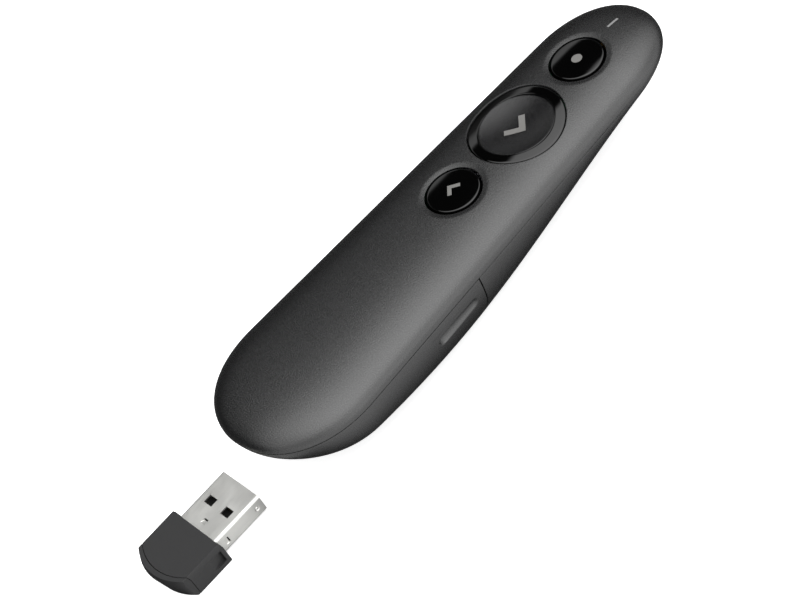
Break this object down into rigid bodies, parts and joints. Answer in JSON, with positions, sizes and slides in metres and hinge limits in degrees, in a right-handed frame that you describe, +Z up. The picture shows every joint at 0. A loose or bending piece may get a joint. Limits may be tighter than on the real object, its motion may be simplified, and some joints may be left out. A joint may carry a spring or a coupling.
{
  "type": "wireless presentation clicker",
  "caption": "Slim wireless presentation remote with a rounded casing, two small buttons, a large dished button, a sliding-off battery cover and a separate USB plug receiver.",
  "frame": {"origin": "near the centre of the small flat land under the belly on which the hand unit rests, on the floor plane", "axes": "+Y from the hand unit's tail to its nose, +X to its right seen from the tail, +Z up, square to the floor; the deck plane tips 2.3 degrees nose down"},
  "size_m": [0.037, 0.1559, 0.0227],
  "materials": {
    "casing_graphite": "satin, fine grain",
    "button_black": "semi-gloss",
    "dish_satin": "satin, speckled",
    "frame_black": "matt",
    "cell_sleeve": "satin",
    "contact_steel": "plated",
    "screw_steel": "zinc plated",
    "board_green": "solder mask",
    "laser_brass": "turned",
    "led_white": "gloss",
    "light_pipe": "milky",
    "laser_window": "clear red",
    "plug_steel": "satin plated",
    "tongue_black": "matt",
    "contact_gold": "gold flash",
    "receiver_plastic": "satin"
  },
  "bodies": {
    "casing": {"top_cover": "casing_graphite", "lower_housing": "casing_graphite", "battery_tray": "frame_black", "laser_holder": "frame_black", "back_switch": "frame_black", "next_switch": "frame_black", "pointer_switch": "frame_black", "battery_left": "cell_sleeve", "battery_right": "cell_sleeve", "front_plus_contact": "contact_steel", "front_minus_contact": "contact_steel", "rear_contact_bridge": "contact_steel", "battery_spring": "contact_steel", "radio_shield": "contact_steel", "case_screw_right": "screw_steel", "case_screw_left": "screw_steel", "case_screw_tail": "screw_steel", "board_screw_tail_right": "screw_steel", "board_screw_nose_right": "screw_steel", "board_screw_tail_left": "screw_steel", "board_screw_nose_left": "screw_steel", "main_board": "board_green", "laser_module": "laser_brass", "status_led": "led_white", "status_light_pipe": "light_pipe", "laser_window": "laser_window"},
    "pointer_button": {"pointer_button": "button_black", "pointer_plunger": "frame_black"},
    "next_button": {"next_button_ring": "button_black", "next_button_dish": "dish_satin", "next_plunger": "frame_black"},
    "back_button": {"back_button": "button_black", "back_plunger": "frame_black"},
    "battery_cover": {"battery_cover": "casing_graphite"},
    "receiver": {"usb_shell": "plug_steel", "usb_tongue": "tongue_black", "usb_contacts": "contact_gold", "receiver_cap": "receiver_plastic", "receiver_end_cap": "receiver_plastic", "receiver_board": "board_green"}
  },
  "joints": [
    {"name": "pointer_press", "type": "slide", "parent": "casing", "child": "pointer_button", "axis": [0, -0.0401, -0.9992], "range_m": [0, 0.00035], "stiffness_N_per_m": 2000},
    {"name": "next_press", "type": "slide", "parent": "casing", "child": "next_button", "axis": [0, -0.0401, -0.9992], "range_m": [0, 0.00035], "stiffness_N_per_m": 2000},
    {"name": "back_press", "type": "slide", "parent": "casing", "child": "back_button", "axis": [0, -0.0401, -0.9992], "range_m": [0, 0.00035], "stiffness_N_per_m": 2000},
    {"name": "battery_cover_off", "type": "slide", "parent": "casing", "child": "battery_cover", "axis": [0, -0.0401, -0.9992], "range_m": [0, 0.028]},
    {"name": "receiver_lift", "type": "slide", "parent": "casing", "child": "receiver", "axis": [0, 0, 1], "range_m": [0, 0.05]}
  ]
}
